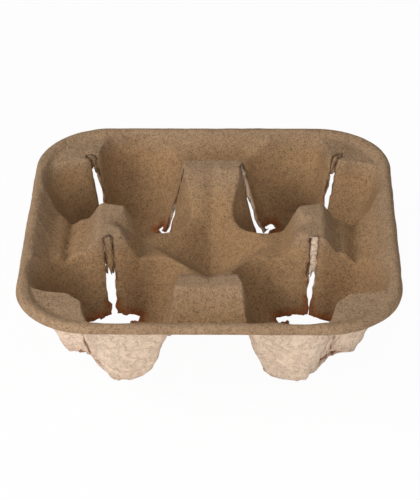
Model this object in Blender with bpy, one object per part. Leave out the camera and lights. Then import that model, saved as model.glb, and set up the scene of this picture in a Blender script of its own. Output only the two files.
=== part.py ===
"""A moulded pulp carrier tray for four cups.

Metres, +Z up. The origin is on the table, under the middle of the tray.
The tray is one shell of pressed paper fibre. Its upper face is worked out here as one height
over the plan, for a quarter of the tray. That quarter is mirrored twice, given its thickness,
and punched with a T-shaped slit at each of the three grips of every cup pocket.
"""

import math

import bmesh
import bpy
import numpy as np
from mathutils import Vector
from mathutils.geometry import delaunay_2d_cdt

for old in list(bpy.data.objects):
    bpy.data.objects.remove(old, do_unlink=True)

# The whole tray: its width follows from how far apart the cups stand and how far from the edge
POCKET_PITCH = 0.1008
POCKET_TO_EDGE = 0.0571
TRAY_HEIGHT = 0.0688
CORNER_RADIUS = 0.0445
PULP_THICKNESS = 0.0022

# The rolled rim: its crest lies inside the outer edge, and its lip hangs down outside
RIM_WIDTH = 0.0060
CREST_INSET = 0.0034
CREST_FALL = 0.0005
LIP_ROLL = 0.0034
LIP_SKIRT = 0.0009

# The cup pockets: three narrow grips hold the cup, and three lobes stand clear of it
FLOOR_RADIUS = 0.0110
BOWL_RADIUS = 0.0175
WAIST_HEIGHT = 0.0160
WAIST_GRIP_RISE = 0.0048
WAIST_GRIP_RADIUS = 0.0220
WAIST_LOBE_RADIUS = 0.0325
SHELF_RISE = 0.0015
MOUTH_GRIP_RADIUS = 0.0342
LOBE_PAST_RIM = 0.0004
FIRST_GRIP = math.radians(45)
GRIPS = 3
GRIP_HALF_ANGLE = math.radians(6)
LOBE_HALF_ANGLE = math.radians(18)
WAIST_LOBE_POWER = 2.0
BOWL_POWER = 1.3
WALL_POWER = 1.15
MOUTH_ROUNDING = 0.0040

# The corner plates, one step below the rim
PLATE_STEP = 0.0022
PLATE_STEP_WIDTH = 0.0045

# The dividers between neighbouring cups, from the rim inwards: a ledge, a saddle and a dome
RIM_CLIMB_LENGTH = 0.0040
LEDGE_LENGTH = 0.0090
LEDGE_STEP_LENGTH = 0.0025
SADDLE_SLOPE_LENGTH = 0.0090
SADDLE_STEP_LENGTH = 0.0020
DOME_OUTER_LENGTH = 0.0070
DOME_TOP_LENGTH = 0.0120
DOME_INNER_LENGTH = 0.0260
RIDGE_DROP = 0.0175
DOME_FOOT_DROP = 0.0100
SADDLE_DROP = 0.0160
LEDGE_INNER_DROP = 0.0120
LEDGE_OUTER_DROP = 0.0105
ARM_HALF_WIDTH = 0.0300
ARM_FADE = 0.0060
PROFILE_ROUNDING_SHARE = 0.18

# The middle pit: a four-sided hollow whose corners point at the dividers
PIT_DROP = 0.0350
PIT_CORNER_PAST_DOME = 0.0010
PIT_VALLEY_ROUNDING = 0.0025
PIT_EDGE_ROUNDING = 0.0030

# The slits: a straight cut up each grip, with a cross cut at its foot
SLIT_WIDTH = 0.0045
SLIT_TOP_RADIUS = 0.0362
CROSS_CUT_LENGTH = 0.0290
CROSS_CUT_INSIDE_BOWL = 0.0015
CROSS_CUT_FOOT = 0.0030
CROSS_CUT_TOP = 0.0216
CUT_OVERRUN = 0.0050

# How finely the surface is divided
RAYS = 42
RIM_POINTS = 20
BOWL_SHARES = (0.45, 0.75)
WALL_SHARES = (0.30, 0.62)
CREST_SHARES = (0.45,)
LIP_POINTS = 4

# The pulp's finish
PULP_COLOUR = (0.29, 0.19, 0.11, 1.0)
PULP_ROUGHNESS = 0.95

POCKET_CENTRE = POCKET_PITCH / 2
HALF_WIDTH = POCKET_CENTRE + POCKET_TO_EDGE
MOUTH_LOBE_RADIUS = POCKET_TO_EDGE - RIM_WIDTH + LOBE_PAST_RIM
CREST_EDGE = HALF_WIDTH - RIM_WIDTH
EDGE_HEIGHT = TRAY_HEIGHT - CREST_FALL
LEDGE_END = CREST_EDGE - RIM_CLIMB_LENGTH
LEDGE_START = LEDGE_END - LEDGE_LENGTH
SADDLE_END = LEDGE_START - LEDGE_STEP_LENGTH
SADDLE_START = SADDLE_END - SADDLE_SLOPE_LENGTH
DOME_OUTER_FOOT = SADDLE_START - SADDLE_STEP_LENGTH
DOME_OUTER_EDGE = DOME_OUTER_FOOT - DOME_OUTER_LENGTH
DOME_INNER_EDGE = DOME_OUTER_EDGE - DOME_TOP_LENGTH
DOME_INNER_FOOT = DOME_INNER_EDGE - DOME_INNER_LENGTH
PIT_CORNER = DOME_INNER_FOOT + PIT_CORNER_PAST_DOME


def smooth_lower(a, b, rounding):
    """The lower of two heights, with their crossing rounded off."""
    blend = np.clip(0.5 + 0.5 * (b - a) / rounding, 0, 1)
    return b * (1 - blend) + a * blend - rounding * blend * (1 - blend)


def soft_ramp(value, start, end):
    """A straight climb from 0 to 1 between start and end, with both its ends rounded."""
    share = (value - start) / (end - start)
    raised = -smooth_lower(-share, 0 * share, PROFILE_ROUNDING_SHARE)
    return smooth_lower(raised, 0 * share + 1, PROFILE_ROUNDING_SHARE)


def smooth_step(share):
    """A climb from 0 to 1 that starts and ends level."""
    share = np.clip(share, 0, 1)
    return share * share * (3 - 2 * share)


def lobe_share(angle):
    """0 on a grip and 1 in a lobe of the pocket, for a direction from its centre."""
    spacing = 2 * math.pi / GRIPS
    off_grip = np.abs((angle - FIRST_GRIP + spacing / 2) % spacing - spacing / 2)
    lobe_start = spacing / 2 - LOBE_HALF_ANGLE
    return smooth_step((off_grip - GRIP_HALF_ANGLE) / (lobe_start - GRIP_HALF_ANGLE))


def waist_radius(angle):
    """The pocket's radius at its waist, where the wall meets the shelf."""
    share = lobe_share(angle) ** WAIST_LOBE_POWER
    return WAIST_GRIP_RADIUS + (WAIST_LOBE_RADIUS - WAIST_GRIP_RADIUS) * share


def waist_height(angle):
    """The height of that waist, which rises from the lobes to the grips."""
    return WAIST_HEIGHT + WAIST_GRIP_RISE * (1 - lobe_share(angle) ** WAIST_LOBE_POWER)


def mouth_radius(angle):
    """The pocket's radius where its wall reaches the height of the rim."""
    return MOUTH_GRIP_RADIUS + (MOUTH_LOBE_RADIUS - MOUTH_GRIP_RADIUS) * lobe_share(angle)


def pocket_height(x, y):
    """The pocket's floor, its bowl, the shelf around the bowl, and the wall to the mouth."""
    out = np.hypot(x - POCKET_CENTRE, y - POCKET_CENTRE)
    angle = np.arctan2(y - POCKET_CENTRE, x - POCKET_CENTRE)
    waist, mouth = waist_radius(angle), mouth_radius(angle)
    waist_level = waist_height(angle)
    shelf_level = WAIST_HEIGHT - SHELF_RISE
    bowl_share = np.clip((out - FLOOR_RADIUS) / (BOWL_RADIUS - FLOOR_RADIUS), 0, 1)
    bowl = PULP_THICKNESS + (shelf_level - PULP_THICKNESS) * bowl_share**BOWL_POWER
    shelf_share = np.clip((out - BOWL_RADIUS) / (waist - BOWL_RADIUS), 0, 1)
    wall_share = np.maximum((out - waist) / (mouth - waist), 0)
    wall = (TRAY_HEIGHT - waist_level) * wall_share**WALL_POWER
    return bowl + (waist_level - shelf_level) * shelf_share + wall


def inset_from_edge(x, y):
    """How far a point of the plan lies inside the tray's rounded outline."""
    straight = HALF_WIDTH - CORNER_RADIUS
    past_x, past_y = np.abs(x) - straight, np.abs(y) - straight
    beyond = np.hypot(np.maximum(past_x, 0), np.maximum(past_y, 0))
    within = np.minimum(np.maximum(past_x, past_y), 0)
    return CORNER_RADIUS - beyond - within


def divider_height(along):
    """The height along a divider, from the middle of the tray out to the rim."""
    return (
        TRAY_HEIGHT
        - RIDGE_DROP
        + RIDGE_DROP * soft_ramp(along, DOME_INNER_FOOT, DOME_INNER_EDGE)
        - DOME_FOOT_DROP * soft_ramp(along, DOME_OUTER_EDGE, DOME_OUTER_FOOT)
        - (SADDLE_DROP - DOME_FOOT_DROP) * soft_ramp(along, SADDLE_START, SADDLE_END)
        + (SADDLE_DROP - LEDGE_INNER_DROP) * soft_ramp(along, SADDLE_END, LEDGE_START)
        + (LEDGE_INNER_DROP - LEDGE_OUTER_DROP) * soft_ramp(along, LEDGE_START, LEDGE_END)
        + (LEDGE_OUTER_DROP - CREST_FALL) * soft_ramp(along, LEDGE_END, CREST_EDGE)
    )


def deck_height(x, y):
    """The tray's upper face without its hollows: corner plates, and dividers along both axes."""
    plate_share = smooth_step((inset_from_edge(x, y) - RIM_WIDTH) / PLATE_STEP_WIDTH)
    plate = EDGE_HEIGHT - PLATE_STEP * plate_share
    along = np.maximum(np.abs(x), np.abs(y))
    across = np.minimum(np.abs(x), np.abs(y))
    fade = smooth_step((across - ARM_HALF_WIDTH) / ARM_FADE)
    return divider_height(along) * (1 - fade) + plate * fade


def pit_height(x, y):
    """The middle pit: four flat faces that fall to one point, with rounded valleys."""
    run = np.hypot(x, PIT_VALLEY_ROUNDING) + np.hypot(y, PIT_VALLEY_ROUNDING)
    run = run - 2 * PIT_VALLEY_ROUNDING
    return TRAY_HEIGHT - PIT_DROP + (PIT_DROP - RIDGE_DROP) * run / PIT_CORNER


def tray_height(x, y):
    """The upper face of the pulp at any point inside the rim."""
    hollowed = smooth_lower(pocket_height(x, y), deck_height(x, y), MOUTH_ROUNDING)
    return smooth_lower(hollowed, pit_height(x, y), PIT_EDGE_ROUNDING)


def edge_ray(angle):
    """How far the quarter reaches from the pocket's centre, in one direction."""
    reach = np.linspace(0, 2 * HALF_WIDTH, 4 * RAYS * GRIPS)
    x = POCKET_CENTRE + reach * math.cos(angle)
    y = POCKET_CENTRE + reach * math.sin(angle)
    inside = (inset_from_edge(x, y) > RIM_WIDTH) & (x > 0) & (y > 0)
    return reach[inside][-1]


def mouth_ray(angle):
    """Where the pocket's wall reaches the deck, in one direction."""
    reach = np.linspace(waist_radius(angle), edge_ray(angle), 4 * RAYS * GRIPS)
    x = POCKET_CENTRE + reach * math.cos(angle)
    y = POCKET_CENTRE + reach * math.sin(angle)
    below = pocket_height(x, y) < deck_height(x, y)
    return reach[below][-1]


class Contours:
    """Design curves in the plan of the quarter, later joined into one triangulated skin."""

    def __init__(self, spacing):
        self.points = []
        self.edges = []
        self.spacing = spacing

    def add_curve(self, curve, closed=False):
        first = len(self.points)
        self.points += [Vector(point) for point in curve]
        count = len(curve)
        for step in range(count if closed else count - 1):
            self.edges.append((first + step, first + (step + 1) % count))

    def add_free_point(self, x, y):
        """A point of the deck, left out where a curve already passes close by."""
        point = Vector((x, y))
        if all((point - other).length > self.spacing for other in self.points):
            self.points.append(point)


def rim_outline(inset):
    """The quarter of the rounded outline from the x axis to the y axis, moved in by inset."""
    straight = HALF_WIDTH - CORNER_RADIUS
    radius = CORNER_RADIUS - inset
    side_points = RIM_POINTS // 4
    sides = np.linspace(0, straight, side_points, endpoint=False)
    turn = np.linspace(0, math.pi / 2, RIM_POINTS - 2 * side_points + 1)
    lower = [(straight + radius, run) for run in sides]
    arc = [(straight + radius * math.cos(t), straight + radius * math.sin(t)) for t in turn]
    upper = [(run, straight + radius) for run in sides[::-1]]
    return lower + arc + upper


DIVIDER_STATIONS = (
    DOME_INNER_FOOT,
    (DOME_INNER_FOOT + DOME_INNER_EDGE) / 2,
    DOME_INNER_EDGE,
    (DOME_INNER_EDGE + DOME_OUTER_EDGE) / 2,
    DOME_OUTER_EDGE,
    DOME_OUTER_FOOT,
    SADDLE_END,
    LEDGE_START,
    LEDGE_END,
)
PIT_STATION_SHARES = (1 / 4, 1 / 2, 3 / 4)
DECK_SPACING = 0.0018
DECK_STEP = 0.0075


def quarter_contours():
    """Every curve and point that the quarter's skin passes through."""
    contours = Contours(DECK_SPACING)
    outline = rim_outline(RIM_WIDTH)
    axis = [PIT_CORNER * share for share in PIT_STATION_SHARES] + list(DIVIDER_STATIONS)
    start_side = [(run, 0) for run in axis]
    end_side = [(0, run) for run in reversed(axis)]
    contours.add_curve([(0, 0)] + start_side + outline + end_side, closed=True)

    angles = FIRST_GRIP + np.arange(RAYS) * 2 * math.pi / RAYS
    mouths = np.array([mouth_ray(angle) for angle in angles])
    edges = np.array([edge_ray(angle) for angle in angles])
    waists = waist_radius(angles)
    half_round = MOUTH_ROUNDING / 2
    inner_mouths = mouths - half_round
    outer_mouths = np.minimum(mouths + half_round, edges - half_round / 2)
    inner_mouths = np.minimum(inner_mouths, outer_mouths - half_round)
    radii = [FLOOR_RADIUS, BOWL_RADIUS]
    radii += [FLOOR_RADIUS + (BOWL_RADIUS - FLOOR_RADIUS) * share for share in BOWL_SHARES]
    rings = [0 * waists + radius for radius in radii]
    rings += [waists]
    rings += [waists + (inner_mouths - waists) * share for share in WALL_SHARES]
    rings += [inner_mouths, outer_mouths]
    for ring in rings:
        x = POCKET_CENTRE + ring * np.cos(angles)
        y = POCKET_CENTRE + ring * np.sin(angles)
        contours.add_curve(list(zip(x.tolist(), y.tolist())), closed=True)
    contours.add_free_point(POCKET_CENTRE, POCKET_CENTRE)

    def clear_of_pocket(x, y):
        angle = math.atan2(y - POCKET_CENTRE, x - POCKET_CENTRE)
        out = math.hypot(x - POCKET_CENTRE, y - POCKET_CENTRE)
        return out > np.interp(angle % (2 * math.pi), ray_angles, ray_mouths) + DECK_SPACING

    order = np.argsort(angles % (2 * math.pi))
    ray_angles = (angles % (2 * math.pi))[order]
    ray_mouths = outer_mouths[order]
    across_runs = np.arange(DECK_STEP, HALF_WIDTH, DECK_STEP)
    for along in axis:
        for across in across_runs[across_runs < ARM_HALF_WIDTH + ARM_FADE]:
            for x, y in ((along, across), (across, along)):
                if across <= along and clear_of_pocket(x, y):
                    contours.add_free_point(x, y)
    for inset in (RIM_WIDTH + PLATE_STEP_WIDTH, RIM_WIDTH + 3 * PLATE_STEP_WIDTH):
        for x, y in rim_outline(inset):
            if clear_of_pocket(x, y):
                contours.add_free_point(x, y)
    return contours


def add_rim(shell, skin_points):
    """Carries the rim's section along the outline: over the crest and down the lip."""
    insets = [RIM_WIDTH - (RIM_WIDTH - CREST_INSET) * share for share in CREST_SHARES]
    heights = [TRAY_HEIGHT - CREST_FALL * (1 - share) ** 2 for share in CREST_SHARES]
    for turn in np.linspace(0, math.pi / 2, LIP_POINTS):
        insets.append(CREST_INSET * (1 - math.sin(turn)))
        heights.append(TRAY_HEIGHT - LIP_ROLL * (1 - math.cos(turn)))
    insets.append(0)
    heights.append(TRAY_HEIGHT - LIP_ROLL - LIP_SKIRT)
    outline = rim_outline(RIM_WIDTH)
    previous = [
        min(skin_points, key=lambda vertex: math.hypot(vertex.co.x - x, vertex.co.y - y))
        for x, y in outline
    ]
    for inset, height in zip(insets, heights):
        row = [shell.verts.new((x, y, height)) for x, y in rim_outline(inset)]
        for step in range(len(row) - 1):
            inner_pair = (previous[step], previous[step + 1])
            shell.faces.new((inner_pair[0], row[step], row[step + 1], inner_pair[1]))
        previous = row


def quarter_skin():
    """The quarter's upper face as one open mesh."""
    contours = quarter_contours()
    plan = delaunay_2d_cdt(contours.points, contours.edges, [], 0, CUT_OVERRUN / 1000)
    shell = bmesh.new()
    skin_points = []
    for point in plan[0]:
        height = float(tray_height(np.float64(point.x), np.float64(point.y)))
        skin_points.append(shell.verts.new((point.x, point.y, height)))
    for triangle in plan[2]:
        shell.faces.new([skin_points[index] for index in triangle])
    add_rim(shell, skin_points)
    bmesh.ops.recalc_face_normals(shell, faces=shell.faces)
    shell.faces.ensure_lookup_table()
    if sum(face.normal.z for face in shell.faces) < 0:
        bmesh.ops.reverse_faces(shell, faces=shell.faces)
    mesh = bpy.data.meshes.new("cup_tray")
    shell.to_mesh(mesh)
    shell.free()
    mesh.shade_smooth()
    return mesh


def slit_punch(name, centre, direction):
    """A T-shaped bar that points along one grip: the slit above, the cross cut below."""
    half_slit, half_cross = SLIT_WIDTH / 2, CROSS_CUT_LENGTH / 2
    top = TRAY_HEIGHT + CUT_OVERRUN
    inner_radius = BOWL_RADIUS - CROSS_CUT_INSIDE_BOWL
    outline = (
        (-half_cross, CROSS_CUT_FOOT),
        (half_cross, CROSS_CUT_FOOT),
        (half_cross, CROSS_CUT_TOP),
        (half_slit, CROSS_CUT_TOP),
        (half_slit, top),
        (-half_slit, top),
        (-half_slit, CROSS_CUT_TOP),
        (-half_cross, CROSS_CUT_TOP),
    )
    out = Vector((math.cos(direction), math.sin(direction), 0))
    side = Vector((-out.y, out.x, 0))
    punch = bmesh.new()
    start = [
        punch.verts.new(centre + out * inner_radius + side * across + Vector((0, 0, z)))
        for across, z in outline
    ]
    face = punch.faces.new(start)
    grown = bmesh.ops.extrude_face_region(punch, geom=[face])
    moved = [item for item in grown["geom"] if isinstance(item, bmesh.types.BMVert)]
    depth = SLIT_TOP_RADIUS - inner_radius
    bmesh.ops.translate(punch, verts=moved, vec=out * depth)
    bmesh.ops.recalc_face_normals(punch, faces=punch.faces)
    mesh = bpy.data.meshes.new(name)
    punch.to_mesh(mesh)
    punch.free()
    cutter = bpy.data.objects.new(name, mesh)
    cutter.hide_render = True
    cutter.display_type = "WIRE"
    bpy.context.scene.collection.objects.link(cutter)
    return cutter


def pulp_material():
    """Matt brown recycled pulp."""
    material = bpy.data.materials.new("moulded_pulp")
    material.use_nodes = True
    shader = material.node_tree.nodes["Principled BSDF"]
    shader.inputs["Base Color"].default_value = PULP_COLOUR
    shader.inputs["Roughness"].default_value = PULP_ROUGHNESS
    shader.inputs["Metallic"].default_value = 0
    return material


tray = bpy.data.objects.new("cup_tray", quarter_skin())
bpy.context.scene.collection.objects.link(tray)
tray.data.materials.append(pulp_material())

halves = tray.modifiers.new("four_quarters", "MIRROR")
halves.use_axis = (True, True, False)
halves.merge_threshold = 0.0001

pressing = tray.modifiers.new("pulp_thickness", "SOLIDIFY")
pressing.thickness = PULP_THICKNESS
pressing.offset = -1
pressing.use_even_offset = True

for side_x in (1, -1):
    for side_y in (1, -1):
        pocket = Vector((side_x * POCKET_CENTRE, side_y * POCKET_CENTRE, 0))
        for grip in range(GRIPS):
            turn = FIRST_GRIP + grip * 2 * math.pi / GRIPS
            direction = math.atan2(side_y * math.sin(turn), side_x * math.cos(turn))
            number = len(tray.modifiers) - 1
            punch_out = tray.modifiers.new(f"slit_{number}", "BOOLEAN")
            punch_out.operation = "DIFFERENCE"
            punch_out.solver = "EXACT"
            punch_out.object = slit_punch(f"slit_punch_{number}", pocket, direction)
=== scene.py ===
"""The looks of a moulded pulp tray that carries four cups."""

import math
from collections import namedtuple

import bpy
import numpy as np
from mathutils import Matrix, Vector


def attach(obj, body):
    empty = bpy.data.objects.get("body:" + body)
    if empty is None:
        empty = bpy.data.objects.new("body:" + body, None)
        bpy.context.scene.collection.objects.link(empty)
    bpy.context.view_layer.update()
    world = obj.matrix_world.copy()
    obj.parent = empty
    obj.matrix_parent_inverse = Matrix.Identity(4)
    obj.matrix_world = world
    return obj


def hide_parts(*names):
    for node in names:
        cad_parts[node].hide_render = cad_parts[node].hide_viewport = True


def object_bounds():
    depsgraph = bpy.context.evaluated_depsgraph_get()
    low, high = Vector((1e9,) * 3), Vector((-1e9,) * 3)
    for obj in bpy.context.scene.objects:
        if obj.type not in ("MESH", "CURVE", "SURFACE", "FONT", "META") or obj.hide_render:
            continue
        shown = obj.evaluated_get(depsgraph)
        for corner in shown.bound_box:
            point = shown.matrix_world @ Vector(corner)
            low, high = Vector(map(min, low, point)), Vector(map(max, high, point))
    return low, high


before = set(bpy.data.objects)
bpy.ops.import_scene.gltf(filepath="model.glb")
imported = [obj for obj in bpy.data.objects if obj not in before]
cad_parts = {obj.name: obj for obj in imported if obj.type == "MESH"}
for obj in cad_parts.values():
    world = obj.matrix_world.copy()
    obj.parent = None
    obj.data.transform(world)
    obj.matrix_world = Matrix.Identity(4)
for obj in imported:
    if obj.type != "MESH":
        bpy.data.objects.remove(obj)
cad_low, cad_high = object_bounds()

# The four cup pockets. Wet paper fibre is drawn by suction onto a mesh mould, pressed and dried,
# and each pocket is one plug of that mould: a round floor that the tray stands on, a bowl, a
# narrow shelf at the waist, and a wall that opens into three lobes between three narrow grips.
# Every form is a height over the plan of the back right quarter, mirrored into the other three.
HEIGHT = cad_high.z
PULP_THICKNESS = 0.0022
POCKET_CENTRE = 0.0504
FLOOR_RADIUS = 0.0088
BOWL_RADIUS = 0.0170
BOWL_POWER = 1.3
SHELF_RISE = 0.0015
WAIST_HEIGHT = 0.0160
WAIST_GRIP_RISE = 0.0058
WAIST_GRIP_RADIUS = 0.0220
WAIST_LOBE_RADIUS = 0.0302
WAIST_INNER_LOBE_RADIUS = 0.0290
WAIST_LOBE_POWER = 2.0
WALL_POWER = 1.15
MOUTH_GRIP_RADIUS = 0.0342
MOUTH_LOBE_RADIUS = 0.0515

GRIPS = 3
GRIP_SPACING = 2 * math.pi / GRIPS
FIRST_GRIP = math.radians(45)
GRIP_HALF_ANGLE = math.radians(6)
LOBE_HALF_ANGLE = math.radians(18)
CORNER_TURN = math.radians(26)
DIVIDER_TURNS = {"back": math.radians(24), "front": math.radians(38)}
INNER_TURN = math.radians(54)


def smooth_step(share):
    """3s^2 - 2s^3 of a share held between 0 and 1."""
    share = np.clip(share, 0, 1)
    return share * share * (3 - 2 * share)


def lobe_share(angle):
    """0 within a grip, 1 within a lobe, and a smooth step of the angle between the two."""
    half_spacing = GRIP_SPACING / 2
    off_grip = np.abs((angle - FIRST_GRIP + half_spacing) % GRIP_SPACING - half_spacing)
    lobe_start = half_spacing - LOBE_HALF_ANGLE
    return smooth_step((off_grip - GRIP_HALF_ANGLE) / (lobe_start - GRIP_HALF_ANGLE))


def off_corner(angle):
    """The angle between a direction and that of the tray's corner, from 0 to pi."""
    return np.abs((angle - FIRST_GRIP + math.pi) % (2 * math.pi) - math.pi)


def mouth_share(angle, divider_turn):
    """0 at a grip and 1 past its turn: a smooth step by the corner's grip times one by the others.

    The turn out of a divider's grip is divider_turn on its outer side and longer on its inner.
    """
    corner_turn = smooth_step((off_corner(angle) - GRIP_HALF_ANGLE) / CORNER_TURN)
    past_divider = off_corner(angle) - GRIP_SPACING
    turn = np.where(past_divider > 0, INNER_TURN, divider_turn)
    return corner_turn * smooth_step((np.abs(past_divider) - GRIP_HALF_ANGLE) / turn)


def waist_radius(angle):
    """The grip's radius, plus a power of the lobe share times what the lobe has more."""
    share = lobe_share(angle) ** WAIST_LOBE_POWER
    inner = off_corner(angle) > GRIP_SPACING
    lobe = np.where(inner, WAIST_INNER_LOBE_RADIUS, WAIST_LOBE_RADIUS)
    return WAIST_GRIP_RADIUS + (lobe - WAIST_GRIP_RADIUS) * share


def pocket_height(out, angle, divider_turn):
    """Floor, bowl (a power of the radius), shelf, then wall (a power of what lies past it)."""
    waist = waist_radius(angle)
    lobe_reach = MOUTH_LOBE_RADIUS - MOUTH_GRIP_RADIUS
    mouth = MOUTH_GRIP_RADIUS + lobe_reach * mouth_share(angle, divider_turn)
    waist_level = WAIST_HEIGHT + WAIST_GRIP_RISE * (1 - lobe_share(angle) ** WAIST_LOBE_POWER)
    shelf_level = WAIST_HEIGHT - SHELF_RISE
    bowl_share = np.clip((out - FLOOR_RADIUS) / (BOWL_RADIUS - FLOOR_RADIUS), 0, 1)
    bowl = PULP_THICKNESS + (shelf_level - PULP_THICKNESS) * bowl_share**BOWL_POWER
    shelf_share = np.clip((out - BOWL_RADIUS) / (waist - BOWL_RADIUS), 0, 1)
    wall_share = np.maximum((out - waist) / (mouth - waist), 0)
    wall = (HEIGHT - waist_level) * wall_share**WALL_POWER
    return bowl + (waist_level - shelf_level) * shelf_share + wall


# The dividers and the corner plates. A raised divider keeps two neighbouring cups apart: it climbs
# from the pit to a dome, falls to a saddle and ends in a ledge below the rim. A flat plate fills
# the corner behind each pocket, one step below the rim.
HALF_SIDE = cad_high.x
CORNER_RADIUS = 0.0445
RIM_WIDTH = 0.0060
CREST_FALL = 0.0005
PLATE_STEP = 0.0022
PLATE_STEP_WIDTH = 0.0032

ARM_HALF_WIDTH = 0.0300
ARM_FADE = 0.0060
RIDGE_DROP = 0.0175
DOME_RISE = (0.0300, 0.0560)
DOME_FALL = (0.0680, 0.0750)
SIDE_DOME_RISE = (0.0420, 0.0512)
SIDE_DOME_FALL = (0.0655, 0.0725)
DOME_FOOT_DROP = 0.0100
SADDLE_FALL = (0.0770, 0.0840)
SADDLE_RISE = (0.0840, 0.0862)
SADDLE_DROP = 0.0160
LEDGE = (0.0862, 0.0928)
LEDGE_INNER_DROP = 0.0120
LEDGE_OUTER_DROP = 0.0105
CREST_CLIMB = (LEDGE[1], HALF_SIDE - RIM_WIDTH)
PROFILE_ROUNDING = 0.12


def smooth_lower(a, b, rounding):
    """The lower of a and b; where they lie within rounding of each other, a parabola joins them."""
    blend = np.clip(0.5 + 0.5 * (b - a) / rounding, 0, 1)
    return b * (1 - blend) + a * blend - rounding * blend * (1 - blend)


def soft_ramp(value, start, end):
    """(value - start) / (end - start), held between 0 and 1 with both corners rounded."""
    share = (value - start) / (end - start)
    raised = -smooth_lower(-share, 0 * share, PROFILE_ROUNDING)
    return smooth_lower(raised, 0 * share + 1, PROFILE_ROUNDING)


def inset_from_edge(x, y):
    """Distance inside the tray's rounded square outline."""
    straight = HALF_SIDE - CORNER_RADIUS
    past_x = np.abs(x) - straight
    past_y = np.abs(y) - straight
    beyond = np.hypot(np.maximum(past_x, 0), np.maximum(past_y, 0))
    return CORNER_RADIUS - beyond - np.minimum(np.maximum(past_x, past_y), 0)


def deck_height(x, y):
    """A profile of ramps along the nearer axis, faded across it into the corner plate's level."""
    plate_share = smooth_step((inset_from_edge(x, y) - RIM_WIDTH) / PLATE_STEP_WIDTH)
    plate = HEIGHT - CREST_FALL - PLATE_STEP * plate_share
    along = np.maximum(np.abs(x), np.abs(y))
    across = np.minimum(np.abs(x), np.abs(y))
    beside = np.abs(x) > np.abs(y)
    rise = np.where(beside, soft_ramp(along, *SIDE_DOME_RISE), soft_ramp(along, *DOME_RISE))
    fall = np.where(beside, soft_ramp(along, *SIDE_DOME_FALL), soft_ramp(along, *DOME_FALL))
    divider = HEIGHT - RIDGE_DROP * (1 - rise) - DOME_FOOT_DROP * fall
    divider -= (SADDLE_DROP - DOME_FOOT_DROP) * soft_ramp(along, *SADDLE_FALL)
    divider += (SADDLE_DROP - LEDGE_INNER_DROP) * soft_ramp(along, *SADDLE_RISE)
    divider += (LEDGE_INNER_DROP - LEDGE_OUTER_DROP) * soft_ramp(along, *LEDGE)
    divider += (LEDGE_OUTER_DROP - CREST_FALL) * soft_ramp(along, *CREST_CLIMB)
    fade = smooth_step((across - ARM_HALF_WIDTH) / ARM_FADE)
    return divider * (1 - fade) + plate * fade


# The pit in the middle. Between the four dividers the sheet is pressed down to a four-sided point,
# which stiffens it. It runs over every crossing of two forms in a small round, because wet pulp
# doesn't follow a sharp edge.
PIT_DROP = 0.0390
PIT_CORNER = 0.0310
PIT_VALLEY_ROUNDING = 0.0025
PIT_EDGE_ROUNDING = 0.0030
MOUTH_ROUNDING = 0.0040


def pit_height(x, y):
    """An upside-down pyramid, |x| + |y|, with its four valleys rounded."""
    run = np.hypot(x, PIT_VALLEY_ROUNDING) + np.hypot(y, PIT_VALLEY_ROUNDING)
    run = run - 2 * PIT_VALLEY_ROUNDING
    return HEIGHT - PIT_DROP + (PIT_DROP - RIDGE_DROP) * run / PIT_CORNER


def tray_height(x, y, divider_turn):
    """The lowest of pocket, deck and pit, each crossing rounded."""
    out = np.hypot(x - POCKET_CENTRE, y - POCKET_CENTRE)
    angle = np.arctan2(y - POCKET_CENTRE, x - POCKET_CENTRE)
    pocket = pocket_height(out, angle, divider_turn)
    hollowed = smooth_lower(pocket, deck_height(x, y), MOUTH_ROUNDING)
    return smooth_lower(hollowed, pit_height(x, y), PIT_EDGE_ROUNDING)


# The slit sheet. A blunt punch tears a T through each grip, so that the pulp can spring open round
# a cup: a slit up the wall and a cross cut at its foot. It tears more than it cuts, so each slit
# has its own widths and ragged edges. Grip 0 is at the tray's corner, and the numbers run
# anticlockwise in the back right quarter.
SECTOR_RAYS = 78
FLOOR_RINGS = 4
BOWL_RINGS = 6
SHELF_RINGS = 3
WALL_RINGS = 15
MOUTH_RINGS = 6
DECK_RINGS = 11
EDGE_HALVINGS = 40
MOUTH_SAMPLES = 600

# Directions from the pocket's centre to three corners of its quarter: where the dividers meet the
# rim at the back and at the side, and the tray's middle.
TO_RIM = HALF_SIDE - RIM_WIDTH - POCKET_CENTRE
BACK_CORNER = math.atan2(TO_RIM, -POCKET_CENTRE)
MIDDLE_CORNER = math.radians(225)
SIDE_CORNER = math.atan2(-POCKET_CENTRE, TO_RIM)

# A slit's top is a radius, its cross cut has a length before and after the grip, and its widths
# stand at the shares of its run from the waist to its top that SLIT_SHARES gives.
Slit = namedtuple("Slit", "top cut_before cut_after widths")
SLIT_SHARES = (0, 0.08, 0.14, 0.22, 0.45, 0.55, 0.65, 1)
PLAIN_WIDTHS = (0.0022, 0.0022, 0.0021, 0.0020, 0.0017, 0.0015, 0.0012, 0.0006)
STRAIGHT_WIDTHS = (0.0060, 0.0060, 0.0060, 0.0058, 0.0054, 0.0052, 0.0044, 0.0040)
CLOSING_WIDTHS = (0.0075, 0.0075, 0.0078, 0.0080, 0.0070, 0.0014, 0.0006, 0.0003)
EVEN_WIDTHS = (0.0040, 0.0040, 0.0040, 0.0040, 0.0040, 0.0038, 0.0042, 0.0044)
LEAF_WIDTHS = (0.0150, 0.0150, 0.0140, 0.0122, 0.0100, 0.0094, 0.0088, 0.0050)
BRIDGED_WIDTHS = (0.0050, 0.0046, 0.0014, 0.0048, 0.0056, 0.0050, 0.0046, 0.0046)
HALF_OPEN_WIDTHS = (0.0012, 0.0012, 0.0012, 0.0016, 0.0046, 0.0046, 0.0046, 0.0046)
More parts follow.
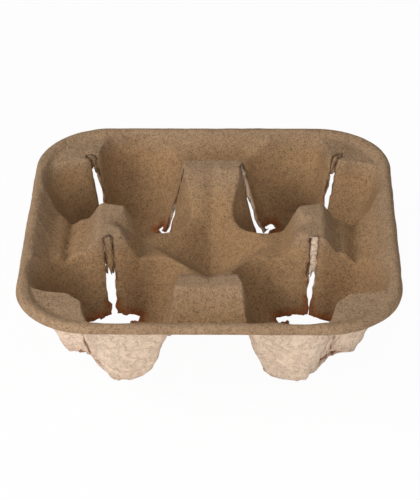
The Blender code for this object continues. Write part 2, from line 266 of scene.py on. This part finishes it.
POCKETS = {
    ("back", "left"): (
        Slit(0.0376, 0.0145, 0.0095, STRAIGHT_WIDTHS),
        Slit(0.0338, 0.0130, 0.0145, CLOSING_WIDTHS),
        Slit(0.0310, 0.0145, 0.0145, PLAIN_WIDTHS),
    ),
    ("back", "right"): (
        Slit(0.0376, 0.0145, 0.0110, EVEN_WIDTHS),
        Slit(0.0352, 0.0150, 0.0150, LEAF_WIDTHS),
        Slit(0.0310, 0.0145, 0.0145, PLAIN_WIDTHS),
    ),
    ("front", "left"): (
        Slit(0.0320, 0.0145, 0.0145, PLAIN_WIDTHS),
        Slit(0.0320, 0.0145, 0.0145, PLAIN_WIDTHS),
        Slit(0.0346, 0.0115, 0.0150, BRIDGED_WIDTHS),
    ),
    ("front", "right"): (
        Slit(0.0320, 0.0145, 0.0145, PLAIN_WIDTHS),
        Slit(0.0320, 0.0145, 0.0145, PLAIN_WIDTHS),
        Slit(0.0350, 0.0130, 0.0130, HALF_OPEN_WIDTHS),
    ),
}
SLIT_SPREAD = math.radians(26)
LEAST_HALF_WIDTH = 0.0001
CROSS_CUT_RADIUS = (BOWL_RADIUS + WAIST_GRIP_RADIUS) / 2
CROSS_CUT_RING_SHARES = (0.50, 0.75, 1)
RAGGED_DEPTH = 0.0006
RAGGED_LENGTH = 0.0016
RAGGED_FULL_WIDTH = 0.0024
NOISE_CELLS = 64
SAME_SPOT = 1e-6


def lattice_noise(points, size, seed):
    """Values at the corners of cubes of one size, blended inside each cube by smooth steps."""
    values = np.random.default_rng(seed).uniform(-1, 1, (NOISE_CELLS, NOISE_CELLS, NOISE_CELLS))
    place = np.asarray(points) / size + 10 * NOISE_CELLS
    cell = np.floor(place).astype(int)
    share = smooth_step(place - cell)
    total = 0
    for step in np.ndindex(2, 2, 2):
        corner = (cell + step) % NOISE_CELLS
        weight = np.prod(np.where(np.array(step) == 1, share, 1 - share), axis=-1)
        total = total + weight * values[corner[..., 0], corner[..., 1], corner[..., 2]]
    return total


def noise_along(run, size, seed):
    """Lattice noise read along one line."""
    return lattice_noise(np.stack([run, 0 * run, 0 * run], axis=-1), size, seed)


def grid_quads(rows, columns):
    """The four corners' numbers of each cell of a grid of points."""
    index = np.arange(rows * columns).reshape(rows, columns)
    return np.stack([index[:-1, :-1], index[:-1, 1:], index[1:, 1:], index[1:, :-1]], axis=-1)


def edge_distance(angle):
    """How far a ray from the pocket's centre runs before it leaves its quarter, by halving."""
    reach = np.full(angle.shape, HALF_SIDE)
    step = HALF_SIDE / 2
    for _ in range(EDGE_HALVINGS):
        x = POCKET_CENTRE + reach * np.cos(angle)
        y = POCKET_CENTRE + reach * np.sin(angle)
        inside = (inset_from_edge(x, y) > RIM_WIDTH) & (x > 0) & (y > 0)
        reach = np.where(inside, reach + step, reach - step)
        step = step / 2
    return reach


def mouth_distance(angle, edge, divider_turn):
    """Where each ray's pocket wall comes up through the deck: the last sample below it."""
    share = np.linspace(0, 1, MOUTH_SAMPLES)
    waist = waist_radius(angle)
    reach = waist[:, None] + (edge - waist)[:, None] * share
    x = POCKET_CENTRE + reach * np.cos(angle)[:, None]
    y = POCKET_CENTRE + reach * np.sin(angle)[:, None]
    below = pocket_height(reach, angle[:, None], divider_turn) < deck_height(x, y)
    last = share.size - 1 - np.argmax(below[:, ::-1], axis=1)
    return reach[np.arange(angle.size), last]


def ring_distances(angle, divider_turn):
    """Distances along each ray: even steps between floor, bowl edge, waist, mouth and edge."""
    edge = edge_distance(angle)
    mouth = mouth_distance(angle, edge, divider_turn)
    waist = waist_radius(angle)
    outer_mouth = np.minimum(mouth + MOUTH_ROUNDING / 2, edge - MOUTH_ROUNDING / 4)
    inner_mouth = np.minimum(mouth - MOUTH_ROUNDING / 2, outer_mouth - MOUTH_ROUNDING / 2)
    knots = [0 * angle, 0 * angle + FLOOR_RADIUS, 0 * angle + BOWL_RADIUS, waist]
    knots += [inner_mouth, outer_mouth, edge]
    counts = [FLOOR_RINGS, BOWL_RINGS, SHELF_RINGS, WALL_RINGS, MOUTH_RINGS, DECK_RINGS]
    stretches = [
        start[:, None] + (end - start)[:, None] * np.arange(count) / count
        for start, end, count in zip(knots[:-1], knots[1:], counts)
    ]
    return np.concatenate(stretches + [edge[:, None]], axis=1)


def slit_half_width(out, slit, seed):
    """Half the slit's width at each radius, between its stated widths, plus a ragged tear."""
    share = np.clip((out - WAIST_GRIP_RADIUS) / (slit.top - WAIST_GRIP_RADIUS), 0, 1)
    width = np.interp(share, SLIT_SHARES, slit.widths)
    tear = noise_along(out, RAGGED_LENGTH, seed) + noise_along(out, RAGGED_LENGTH / 3, seed)
    half = width / 2 + RAGGED_DEPTH * tear * (1 - share) * np.minimum(1, width / RAGGED_FULL_WIDTH)
    cut = (out > WAIST_GRIP_RADIUS - SAME_SPOT) & (out < slit.top)
    return np.where(cut, np.maximum(half, LEAST_HALF_WIDTH), 0)


def rays_before(corner, grip_angle):
    """How many of a sector's rays lie between its grip and a corner of the quarter."""
    return round(SECTOR_RAYS * (corner - grip_angle) / GRIP_SPACING)


def sector(first, slit_here, slit_next, seed, divider_turn):
    """A grid from one grip round to the next: rays by rings, pushed aside by the slits' edges."""
    start = FIRST_GRIP + first * GRIP_SPACING
    end = start + GRIP_SPACING
    corner = (BACK_CORNER, MIDDLE_CORNER, SIDE_CORNER + 2 * math.pi)[first]
    before = rays_before(corner, start)
    to_corner = np.linspace(start, corner, before, endpoint=False)
    rays = np.concatenate([to_corner, np.linspace(corner, end, SECTOR_RAYS - before + 1)])
    out = ring_distances(rays, divider_turn)
    pushed = np.repeat(rays[:, None], out.shape[1], axis=1)
    torn_edges = ((start, 1, slit_here, seed), (end, -1, slit_next, seed + 1))
    for origin, turn, slit, edge_seed in torn_edges:
        away = turn * (pushed - origin)
        gap = slit_half_width(out, slit, edge_seed) / np.maximum(out, FLOOR_RADIUS)
        pushed = pushed + turn * gap * np.clip(1 - away / SLIT_SPREAD, 0, None)
    x = POCKET_CENTRE + out * np.cos(pushed)
    y = POCKET_CENTRE + out * np.sin(pushed)
    points = np.stack([x, y, tray_height(x, y, divider_turn)], axis=-1)

    quads = grid_quads(*out.shape)
    shelf = FLOOR_RINGS + BOWL_RINGS + np.arange(SHELF_RINGS)
    middle = (rays[1:] + rays[:-1]) / 2
    keep = np.ones(quads.shape[:2], bool)
    cuts = ((middle - start, slit_here.cut_after), (end - middle, slit_next.cut_before))
    for past_slit, length in cuts:
        near = past_slit < GRIP_SPACING / 2
        along = np.where(near, np.sin(past_slit) * CROSS_CUT_RADIUS, math.inf)
        for ring, share in zip(shelf, CROSS_CUT_RING_SHARES):
            keep[along < length * share, ring] = False
    return points.reshape(-1, 3), quads[keep]


# The tongues. Where the punch didn't go through, a strip of pulp still hangs from the slit's top,
# with a ragged end. Each has its lower and upper radius, its width, and how far it sits aside.
Tongue = namedtuple("Tongue", "low top width aside")
TONGUES = {
    ("back", "left", 0): Tongue(0.0318, 0.0376, 0.0032, 0.0001),
    ("back", "right", 0): Tongue(0.0318, 0.0376, 0.0034, 0.0003),
    ("front", "left", 2): Tongue(0.0292, 0.0345, 0.0043, 0.0000),
    ("front", "right", 2): Tongue(0.0290, 0.0348, 0.0034, 0.0005),
}
TONGUE_COLUMNS = 7
TONGUE_ROWS = 14
TONGUE_TEAR_LENGTH = 0.0007
TONGUE_TEAR_DEPTH = 0.0010


def tongue(grip, strip, seed, divider_turn):
    """A grid on the pocket's wall, straight up the grip, with noise in its lower end."""
    angle = FIRST_GRIP + grip * GRIP_SPACING
    across = np.linspace(-0.5, 0.5, TONGUE_COLUMNS)[:, None] * strip.width + strip.aside
    rag = noise_along(across[:, 0], TONGUE_TEAR_LENGTH, seed)
    low = strip.low + TONGUE_TEAR_DEPTH * rag[:, None]
    out = low + (strip.top - low) * np.linspace(0, 1, TONGUE_ROWS)
    x = POCKET_CENTRE + out * math.cos(angle) - across * math.sin(angle)
    y = POCKET_CENTRE + out * math.sin(angle) + across * math.cos(angle)
    points = np.stack([x, y, tray_height(x, y, divider_turn)], axis=-1)
    return points.reshape(-1, 3), grid_quads(*out.shape).reshape(-1, 4)


# The rolled rim. The sheet rises over a crest and turns down outside into a short lip, which
# stiffens the tray's edge and gives the fingers a hold.
CREST_INSET = 0.0034
ROLL_HEIGHT = 0.0034
LIP_SKIRT = 0.0009
CREST_STEPS = 4
ROLL_STEPS = 8


def rim_strip(divider_turn):
    """The rim's section, a parabola and a quarter of an ellipse, carried round the outline."""
    before = rays_before(BACK_CORNER, FIRST_GRIP)
    last_grip = FIRST_GRIP + (GRIPS - 1) * GRIP_SPACING
    after = SECTOR_RAYS - rays_before(SIDE_CORNER + 2 * math.pi, last_grip)
    from_side = np.linspace(SIDE_CORNER, FIRST_GRIP, after, endpoint=False)
    rays = np.concatenate([from_side, np.linspace(FIRST_GRIP, BACK_CORNER, before + 1)])
    edge = edge_distance(rays)
    x = POCKET_CENTRE + edge * np.cos(rays)
    y = POCKET_CENTRE + edge * np.sin(rays)
    straight = HALF_SIDE - CORNER_RADIUS
    away_x = np.maximum(x - straight, 0)
    away_y = np.maximum(y - straight, 0)
    length = np.hypot(away_x, away_y)
    outward = np.stack([away_x / length, away_y / length], axis=-1)

    share = np.arange(CREST_STEPS) / CREST_STEPS
    turn = np.linspace(0, math.pi / 2, ROLL_STEPS)
    crest_inset = RIM_WIDTH - (RIM_WIDTH - CREST_INSET) * share
    inset = np.concatenate([crest_inset, CREST_INSET * (1 - np.sin(turn)), [0]])
    crest = HEIGHT - CREST_FALL * (1 - share) ** 2
    roll = HEIGHT - ROLL_HEIGHT * (1 - np.cos(turn))
    height = np.concatenate([crest, roll, [HEIGHT - ROLL_HEIGHT - LIP_SKIRT]])
    run = (RIM_WIDTH - inset)[None, :]
    start_gap = tray_height(x, y, divider_turn) - height[0]
    fading = np.clip(1 - run / (RIM_WIDTH - CREST_INSET), 0, 1) ** 2
    section_x = x[:, None] + outward[:, :1] * run
    section_y = y[:, None] + outward[:, 1:] * run
    points = np.stack([section_x, section_y, height + start_gap[:, None] * fading], axis=-1)
    return points.reshape(-1, 3), grid_quads(*points.shape[:2]).reshape(-1, 4)


# The pressed tray: the four quarters in one sheet of pulp. It is smooth above, where it lay on the
# mould, and lumpy below. It frays where it is torn, and its front feet are dented a little at
# their flanks, which SQUEEZES gives as each foot's inner and outer dent.
SQUEEZES = {("front", "left"): (0.0062, 0), ("front", "right"): (0.0010, 0.0042)}
SQUEEZE_HEIGHT = 0.060
SQUEEZE_RUN = 0.012
SQUEEZE_LAG = 0.2
MIDDLE_FADE = 0.015
SECTOR_SEEDS = 10
TONGUE_SEED = 200
FRAY_SIZE = 0.0013
FRAY_REACH = (0.0004, 0.0004, 0.0009)
FRAY_SEEDS = (101, 102, 103)
SWELLS = ((0.00022, 0.009, 111), (0.00010, 0.0035, 112))
LUMPS = ((0.0006, 0.007, 121), (0.0006, 0.0028, 122))
SHARP_ANGLE = math.radians(55)
# The tongue that gets a pale patch of painted light, and how far the patch reaches round it.
PAINTED_LIGHT_TONGUE = ("front", "right", 2)
PAINTED_LIGHT_SHARE = 0.75
PALE_MARGIN = 0.0003
PALE_MARGIN_BELOW = 0.002
PALE_MARGIN_ABOVE = 0.0002
# How far the painted shade and painted glow reach from a torn edge, longer low down.
TEAR_PAINT_HEIGHTS = (0.026, 0.036)
TEAR_PAINT_REACHES = (0.0058, 0.0015)
BLOCK = 4000


def squeezed(points, inner, outer):
    """Moves a foot's rim side in from its inner and outer flank, more the lower a point lies."""
    x, y, z = points.T
    in_front = np.clip((y - POCKET_CENTRE) / SQUEEZE_RUN - SQUEEZE_LAG, 0, 1)
    depth = np.clip(1 - z / SQUEEZE_HEIGHT, 0, 1) * in_front
    aside = (x - POCKET_CENTRE) / WAIST_LOBE_RADIUS
    inner_shift = inner * np.clip(-aside, 0, 1) * np.clip(x / MIDDLE_FADE, 0, 1)
    shift = inner_shift - outer * np.clip(aside, 0, 1)
    return np.stack([x + shift * depth, y, z], axis=-1)


def welded(points, quads):
    """Points on one spot become one, unused ones go, and quads that lose a side are triangles."""
    used = np.unique(quads)
    spots = np.round(points[used] / SAME_SPOT).astype(np.int64)
    _, first, same = np.unique(spots, axis=0, return_index=True, return_inverse=True)
    renumbered = np.zeros(len(points), int)
    renumbered[used] = same.reshape(-1)
    quads = renumbered[quads]
    pinched = quads[:, 0] == quads[:, 3]
    return points[used[first]], quads[~pinched], quads[pinched][:, :3]


def sheet_normals(points, quads, triangles):
    """Each point's normal: the sum of the cross products of the diagonals or sides round it."""
    normals = np.zeros_like(points)
    across = points[quads[:, 2]] - points[quads[:, 0]]
    back = points[quads[:, 3]] - points[quads[:, 1]]
    for corner in range(4):
        np.add.at(normals, quads[:, corner], np.cross(across, back))
    one = points[triangles[:, 1]] - points[triangles[:, 0]]
    other = points[triangles[:, 2]] - points[triangles[:, 0]]
    for corner in range(3):
        np.add.at(normals, triangles[:, corner], np.cross(one, other))
    return normals / np.linalg.norm(normals, axis=1, keepdims=True)


def open_edges(quads, triangles):
    """The directed sides that only one face has: the slits' edges and the rim's lip."""
    sides = [quads[:, [k, (k + 1) % 4]] for k in range(4)]
    sides += [triangles[:, [k, (k + 1) % 3]] for k in range(3)]
    sides = np.concatenate(sides)
    ordered = np.sort(sides, axis=1)
    _, first, uses = np.unique(ordered, axis=0, return_index=True, return_counts=True)
    return sides[first[uses == 1]]


def layered_noise(points, layers):
    """The sum of several lattice noises, each with its strength, size and seed."""
    return sum(strength * lattice_noise(points, size, seed) for strength, size, seed in layers)


patch_points = []
patch_quads = []
count = 0
for number, ((depth, side), slits) in enumerate(POCKETS.items()):
    divider_turn = DIVIDER_TURNS[depth]
    sign_x = 1 if side == "right" else -1
    sign_y = 1 if depth == "back" else -1
    patches = [rim_strip(divider_turn)]
    for first in range(GRIPS):
        following = slits[(first + 1) % GRIPS]
        seed = SECTOR_SEEDS * number + 2 * first
        patches.append(sector(first, slits[first], following, seed, divider_turn))
        strip = TONGUES.get((depth, side, first))
        if strip:
            patches.append(tongue(first, strip, TONGUE_SEED + number, divider_turn))
    for points, quads in patches:
        points = squeezed(points, *SQUEEZES.get((depth, side), (0, 0)))
        patch_points.append(points * (sign_x, sign_y, 1))
        patch_quads.append((quads if sign_x * sign_y > 0 else quads[:, ::-1]) + count)
        count += len(points)

upper, quads, triangles = welded(np.concatenate(patch_points), np.concatenate(patch_quads))
edges = open_edges(quads, triangles)
torn = np.zeros(len(upper), bool)
torn[edges.ravel()] = True
torn &= inset_from_edge(upper[:, 0], upper[:, 1]) > RIM_WIDTH
fray = np.stack([lattice_noise(upper, FRAY_SIZE, seed) for seed in FRAY_SEEDS], axis=-1)
upper = upper + torn[:, None] * fray * FRAY_REACH
normals = sheet_normals(upper, quads, triangles)
upper = upper + normals * layered_noise(upper, SWELLS)[:, None]
lower = upper - normals * (PULP_THICKNESS + layered_noise(upper, LUMPS))[:, None]
lower[:, 2] = np.maximum(lower[:, 2], 0)

size = len(upper)
bands = np.stack([edges[:, 1], edges[:, 0], edges[:, 0] + size, edges[:, 1] + size], axis=-1)
faces = quads.tolist() + triangles.tolist() + (quads[:, ::-1] + size).tolist()
faces += (triangles[:, ::-1] + size).tolist() + bands.tolist()
sheet = bpy.data.meshes.new("pressed_pulp_tray")
sheet.from_pydata(np.concatenate([upper, lower]).tolist(), [], faces)
sheet.update()
sheet.shade_smooth()
sheet.set_sharp_from_angle(angle=SHARP_ANGLE)

# The attribute that marks the outside is 1 on the lower skin, which the finish paints paler as
# painted light. It is high on the upper face of one tongue, which paints a pale patch of painted
# light on it.
strip = TONGUES[PAINTED_LIGHT_TONGUE]
grip_angle = FIRST_GRIP + PAINTED_LIGHT_TONGUE[2] * GRIP_SPACING
from_centre = upper[:, :2] * (1, -1) - POCKET_CENTRE
along = from_centre @ (math.cos(grip_angle), math.sin(grip_angle))
across = from_centre @ (-math.sin(grip_angle), math.cos(grip_angle)) - strip.aside
on_tongue = np.abs(across) < strip.width / 2 + PALE_MARGIN
on_tongue &= (along > strip.low - PALE_MARGIN_BELOW) & (along < strip.top + PALE_MARGIN_ABOVE)
outside_and_painted_light = np.concatenate([PAINTED_LIGHT_SHARE * on_tongue, np.ones(size)])
sheet.attributes.new("outside_and_painted_light", "FLOAT", "POINT").data.foreach_set("value", outside_and_painted_light)

# The attribute "tear" falls from 1 at a torn edge to 0 at its reach, which is longer low down. It
# places the painted shade and painted glow along the torn edges.
torn_spots = upper[torn][::2]
nearness = np.empty(size)
for start in range(0, size, BLOCK):
    block = upper[start : start + BLOCK]
    spread = np.linalg.norm(block[:, None, :] - torn_spots[None, :, :], axis=-1)
    nearness[start : start + BLOCK] = spread.min(axis=1)
reach = np.interp(upper[:, 2], TEAR_PAINT_HEIGHTS, TEAR_PAINT_REACHES)
tear = np.clip(1 - nearness / reach, 0, 1)
sheet.attributes.new("tear", "FLOAT", "POINT").data.foreach_set("value", np.tile(tear, 2))

tray = bpy.data.objects.new("pressed_pulp_tray", sheet)
bpy.context.scene.collection.objects.link(tray)
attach(tray, "root")
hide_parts("cup_tray")

# The tray's finish: matt brown pulp, speckled with darker fibre, painted redder down in the pockets
# as painted shade and greyer high up as painted light. The outside is painted paler as painted light,
# and is wrinkled like crushed paper with painted shade along the wrinkles. Near torn edges there is a
# dark brown painted shade high up and an orange painted glow low down. Colours are as a screen shows
# them, from 0 to 255, darker tone first.
# Each pair's two tones vary at random over the pulp. The pair used low in the pockets is redder, as
# painted shade. The pair used high up is greyer and a little lighter, as painted light.
LOW_PAINTED_SHADE_TONES = ((150, 116, 82), (178, 143, 104))
HIGH_PAINTED_LIGHT_TONES = ((152, 122, 94), (179, 149, 117))
# The outside's tones are painted paler than the inside's, as painted light; the pulp is the same
# colour on both sides.
OUTSIDE_TONES_WITH_PAINTED_LIGHT = ((242, 211, 184), (250, 227, 204))
# At torn edges, a dark brown painted shade high up and an orange painted glow low down.
TEAR_PAINTED_SHADE = (70, 42, 24)
TEAR_PAINTED_GLOW = (150, 82, 38)
PAINTED_LIGHT_ABOVE = 0.056
TEAR_GLOW_BELOW = 0.048
HEIGHT_BLEND = 0.010
TEAR_PAINT_GAIN = 1.3
TEAR_PAINT_INSIDE = 0.85
TEAR_PAINT_LOST_OUTSIDE = 0.65

# Each cloud of noise has a size in metres, a detail and a roughness.
PATCH_CLOUD = (0.030, 2.0, 0.5)
SPECK_CLOUD = (0.0008, 2.0, 0.6)
FLECK_CLOUD = (0.0026, 2.0, 0.6)
WRINKLE_CLOUD = (0.008, 3.0, 0.6)
GRAIN_CLOUD = (0.0014, 3.0, 0.7)
LUMP_CLOUD = (0.006, 2.0, 0.5)
MIDDLE_OF_NOISE = 0.5
SPECK_STRENGTH = 1.7
FLECK_STRENGTH = 0.7
WRINKLE_NARROWNESS = 16
WRINKLE_PAINTED_SHADE = 0.13
INSIDE_SHADE = 0.84
OUTSIDE_PAINTED_LIGHT_GAIN = 0.10
OUTSIDE_CALM = 0.5
LUMP_RELIEF = 1.5
WRINKLE_RELIEF = 0.9
BUMP_STRENGTH = 0.8
BUMP_DISTANCE = 0.0008
PULP_ROUGHNESS = 0.95
PULP_SPECULAR = 0.2


class Socket:
    """A value in a shader: + - * / with sockets or numbers add Math nodes to its tree."""

    def __init__(self, tree, output):
        self.tree = tree
        self.output = output

    @classmethod
    def node(cls, tree, kind, settings, inputs, output=0):
        """Adds any node, with its settings first and then its inputs' values or links."""
        made = tree.nodes.new(kind)
        for name, value in settings.items():
            setattr(made, name, value)
        for key, value in inputs.items():
            if isinstance(value, cls):
                tree.links.new(value.output, made.inputs[key])
            else:
                made.inputs[key].default_value = value
        return cls(tree, made.outputs[output])

    def combined(self, operation, first, second=0.0):
        """A Math node of two sockets or numbers."""
        return self.node(self.tree, "ShaderNodeMath", {"operation": operation}, {0: first, 1: second})

    def __add__(self, other):
        return self.combined("ADD", self, other)

    __radd__ = __add__

    def __sub__(self, other):
        return self.combined("SUBTRACT", self, other)

    def __rsub__(self, other):
        return self.combined("SUBTRACT", other, self)

    def __mul__(self, other):
        return self.combined("MULTIPLY", self, other)

    __rmul__ = __mul__

    def __truediv__(self, other):
        return self.combined("DIVIDE", self, other)

    def __rtruediv__(self, other):
        return self.combined("DIVIDE", other, self)

    def __abs__(self):
        return self.combined("ABSOLUTE", self)

    def held(self):
        """Held between 0 and 1."""
        return self.combined("MINIMUM", self.combined("MAXIMUM", self, 0.0), 1.0)


def linear(colour):
    """A screen's colour as the shader's linear light, by the sRGB curve, with an alpha of 1."""
    share = np.array(colour) / 255
    light = np.where(share > 0.04045, ((share + 0.055) / 1.055) ** 2.4, share / 12.92)
    return (*light.tolist(), 1)


pulp = bpy.data.materials.new("moulded_pulp")
pulp.use_nodes = True
pulp_tree = pulp.node_tree
shader = pulp_tree.nodes["Principled BSDF"]
place = Socket.node(pulp_tree, "ShaderNodeTexCoord", {}, {}, "Object")


def attribute(name):
    """One of the sheet's own attributes."""
    return Socket.node(pulp_tree, "ShaderNodeAttribute", {"attribute_name": name}, {}, "Fac")


def cloud(size, detail, rough):
    """Noise of about that size in metres, from 0 to 1."""
    inputs = {"Vector": place, "Scale": 1 / size, "Detail": detail, "Roughness": rough}
    return Socket.node(pulp_tree, "ShaderNodeTexNoise", {}, inputs)


def blended(share, first, second, how="MIX"):
    """The second colour over the first by a share, from 0 to 1."""
    settings = {"data_type": "RGBA", "blend_type": how}
    return Socket.node(pulp_tree, "ShaderNodeMix", settings, {0: share, 6: first, 7: second}, 2)


outside_and_painted_light_mask = attribute("outside_and_painted_light")
level = Socket.node(pulp_tree, "ShaderNodeSeparateXYZ", {}, {"Vector": place}, "Z")
patch = cloud(*PATCH_CLOUD)
low_painted_shade, high_painted_light, outer = (
    blended(patch, linear(dark), linear(light)) for dark, light in (LOW_PAINTED_SHADE_TONES, HIGH_PAINTED_LIGHT_TONES, OUTSIDE_TONES_WITH_PAINTED_LIGHT)
)
# Above a height the colour turns from the tones of painted shade to those of painted light.
inner = blended(((level - PAINTED_LIGHT_ABOVE) / HEIGHT_BLEND).held(), low_painted_shade, high_painted_light)
pulp_colour = blended(outside_and_painted_light_mask, inner, outer)
# Near torn edges the colour turns to painted glow low down and to painted shade higher up.
low_down = ((TEAR_GLOW_BELOW - level) / HEIGHT_BLEND).held()
tear_shade_and_glow = blended(low_down, linear(TEAR_PAINTED_SHADE), linear(TEAR_PAINTED_GLOW))
tear_paint_share = (attribute("tear") * TEAR_PAINT_GAIN).held()
tear_paint_share = tear_paint_share * (TEAR_PAINT_INSIDE - TEAR_PAINT_LOST_OUTSIDE * outside_and_painted_light_mask)
pulp_colour = blended(tear_paint_share, pulp_colour, tear_shade_and_glow)

specks = cloud(*SPECK_CLOUD) - MIDDLE_OF_NOISE
flecks = cloud(*FLECK_CLOUD) - MIDDLE_OF_NOISE
mottle = SPECK_STRENGTH * specks + FLECK_STRENGTH * flecks
waver = cloud(*WRINKLE_CLOUD) - MIDDLE_OF_NOISE
wrinkle = (1 - WRINKLE_NARROWNESS * abs(waver)).held() * outside_and_painted_light_mask
# The outside's gain here is painted light; the specks and flecks are the pulp's own grain.
grain_and_painted_light = INSIDE_SHADE + OUTSIDE_PAINTED_LIGHT_GAIN * outside_and_painted_light_mask + mottle * (1 - OUTSIDE_CALM * outside_and_painted_light_mask)
# The wrinkles darken the colour along their lines as painted shade in the creases; their relief is
# the bump below.
grain_and_painted_light = (grain_and_painted_light - WRINKLE_PAINTED_SHADE * wrinkle).held()
equal_parts = {"Red": grain_and_painted_light, "Green": grain_and_painted_light, "Blue": grain_and_painted_light}
grey = Socket.node(pulp_tree, "ShaderNodeCombineColor", {}, equal_parts)
pulp_colour = blended(1.0, pulp_colour, grey, "MULTIPLY")
pulp_tree.links.new(pulp_colour.output, shader.inputs["Base Color"])
shader.inputs["Roughness"].default_value = PULP_ROUGHNESS
shader.inputs["Specular IOR Level"].default_value = PULP_SPECULAR

grain = cloud(*GRAIN_CLOUD)
lumps = cloud(*LUMP_CLOUD) * (LUMP_RELIEF + LUMP_RELIEF * outside_and_painted_light_mask)
relief = grain + lumps - WRINKLE_RELIEF * wrinkle
bump_inputs = {"Height": relief, "Strength": BUMP_STRENGTH, "Distance": BUMP_DISTANCE}
bump = Socket.node(pulp_tree, "ShaderNodeBump", {}, bump_inputs, "Normal")
pulp_tree.links.new(bump.output, shader.inputs["Normal"])
sheet.materials.append(pulp)

# The stage: a plain pale floor under the tray. The camera sees it nearly white, and the lamps
# find it pale and matt, so that it keeps the tray's shadow.
FLOOR_REACH = 3.0
FLOOR_GAP = 0.0005
FLOOR_PALENESS = 0.8
FLOOR_ROUGHNESS = 0.9
FLOOR_WHITENESS = 0.96


def seen_directly(tree):
    """1 for a ray from the camera, also in a gloss or through glass, and 0 for one that lights."""
    kinds = ("Is Camera Ray", "Is Glossy Ray", "Is Transmission Ray")
    camera, gloss, glass = (
        Socket.node(tree, "ShaderNodeLightPath", {}, {}, kind) for kind in kinds
    )
    return (camera + gloss + glass).held()


floor_mesh = bpy.data.meshes.new("floor")
floor_corners = [(-1, -1), (1, -1), (1, 1), (-1, 1)]
floor_points = [(x * FLOOR_REACH, y * FLOOR_REACH, -FLOOR_GAP) for x, y in floor_corners]
floor_mesh.from_pydata(floor_points, [], [(0, 1, 2, 3)])
floor = bpy.data.objects.new("floor", floor_mesh)
bpy.context.scene.collection.objects.link(floor)
pale = bpy.data.materials.new("pale_floor")
pale.use_nodes = True
floor_tree = pale.node_tree
floor_shader = floor_tree.nodes["Principled BSDF"]
floor_shader.inputs["Base Color"].default_value = (FLOOR_PALENESS, FLOOR_PALENESS, FLOOR_PALENESS, 1)
floor_shader.inputs["Roughness"].default_value = FLOOR_ROUGHNESS
matt = Socket(floor_tree, floor_shader.outputs[0])
glow = Socket.node(floor_tree, "ShaderNodeEmission", {}, {"Color": (1, 1, 1, 1), "Strength": 1.0})
whiteness = seen_directly(floor_tree) * FLOOR_WHITENESS
mixed = Socket.node(floor_tree, "ShaderNodeMixShader", {}, {0: whiteness, 1: matt, 2: glow})
floor_tree.links.new(mixed.output, floor_tree.nodes["Material Output"].inputs["Surface"])
floor_mesh.materials.append(pale)

# The light: an even room that the camera sees as white, and three round soft lamps. The key is
# high on the left, the fill low in front, and a weak wash high in front, a little to the right.
ROOM_LIGHT = 0.18
LAMP_AIM = Vector((0, 0, 0.03))
Lamp = namedtuple("Lamp", "name place width watts")
LAMPS = (
    Lamp("key_lamp", (-0.98, -0.32, 0.84), 0.7, 11.5),
    Lamp("fill_lamp", (0.1, -1.27, 0.45), 0.6, 6.2),
    Lamp("wash_lamp", (0.3, -0.80, 1.05), 0.7, 3.8),
)

world = bpy.data.worlds.new("studio")
bpy.context.scene.world = world
world.use_nodes = True
room_tree = world.node_tree
background = room_tree.nodes["Background"]
background.inputs["Color"].default_value = (1, 1, 1, 1)
strength = ROOM_LIGHT + (1 - ROOM_LIGHT) * seen_directly(room_tree)
room_tree.links.new(strength.output, background.inputs["Strength"])

for lamp in LAMPS:
    light = bpy.data.objects.new(lamp.name, bpy.data.lights.new(lamp.name, "AREA"))
    light.data.shape = "DISK"
    light.data.size = lamp.width
    light.data.energy = lamp.watts
    light.location = lamp.place
    light.rotation_euler = (LAMP_AIM - light.location).to_track_quat("-Z", "Y").to_euler()
    bpy.context.scene.collection.objects.link(light)

# The camera: where the photo was taken from, in front of the tray's near side and above it. Its
# place and focal length were fitted to the tray's corners in the photo's frame.
PHOTO_WIDTH = 420
PHOTO_HEIGHT = 500
CAMERA_ELEVATION = math.radians(32.9)
CAMERA_YAW = math.radians(1.45)
CAMERA_ROLL = math.radians(-0.65)
CAMERA_DISTANCE = 1.19
FOCAL_PIXELS = 1.72 * 1190
AXIS_COLUMN = 211.2
AXIS_ROW = 222.0
AIM_BELOW_RIM = 0.0015
SENSOR_WIDTH = 36

target = Vector((0, 0, HEIGHT - AIM_BELOW_RIM))
level_share = math.cos(CAMERA_ELEVATION)
away_x = math.sin(CAMERA_YAW) * level_share
away_y = -math.cos(CAMERA_YAW) * level_share
away = Vector((away_x, away_y, math.sin(CAMERA_ELEVATION)))
right = (-away).cross(Vector((0, 0, 1))).normalized()
up = right.cross(-away)
rolled_right = right * math.cos(CAMERA_ROLL) + up * math.sin(CAMERA_ROLL)
rolled_up = up * math.cos(CAMERA_ROLL) - right * math.sin(CAMERA_ROLL)
axes = Matrix((rolled_right, rolled_up, away)).transposed().to_4x4()
camera = bpy.data.objects.new("camera", bpy.data.cameras.new("camera"))
camera.matrix_world = Matrix.Translation(target + away * CAMERA_DISTANCE) @ axes
camera.data.sensor_width = SENSOR_WIDTH
camera.data.lens = FOCAL_PIXELS / PHOTO_HEIGHT * SENSOR_WIDTH
camera.data.shift_x = -(AXIS_COLUMN - PHOTO_WIDTH / 2) / PHOTO_HEIGHT
camera.data.shift_y = (AXIS_ROW - PHOTO_HEIGHT / 2) / PHOTO_HEIGHT
bpy.context.scene.collection.objects.link(camera)
bpy.context.scene.camera = camera
bpy.context.scene.view_settings.view_transform = "Standard"
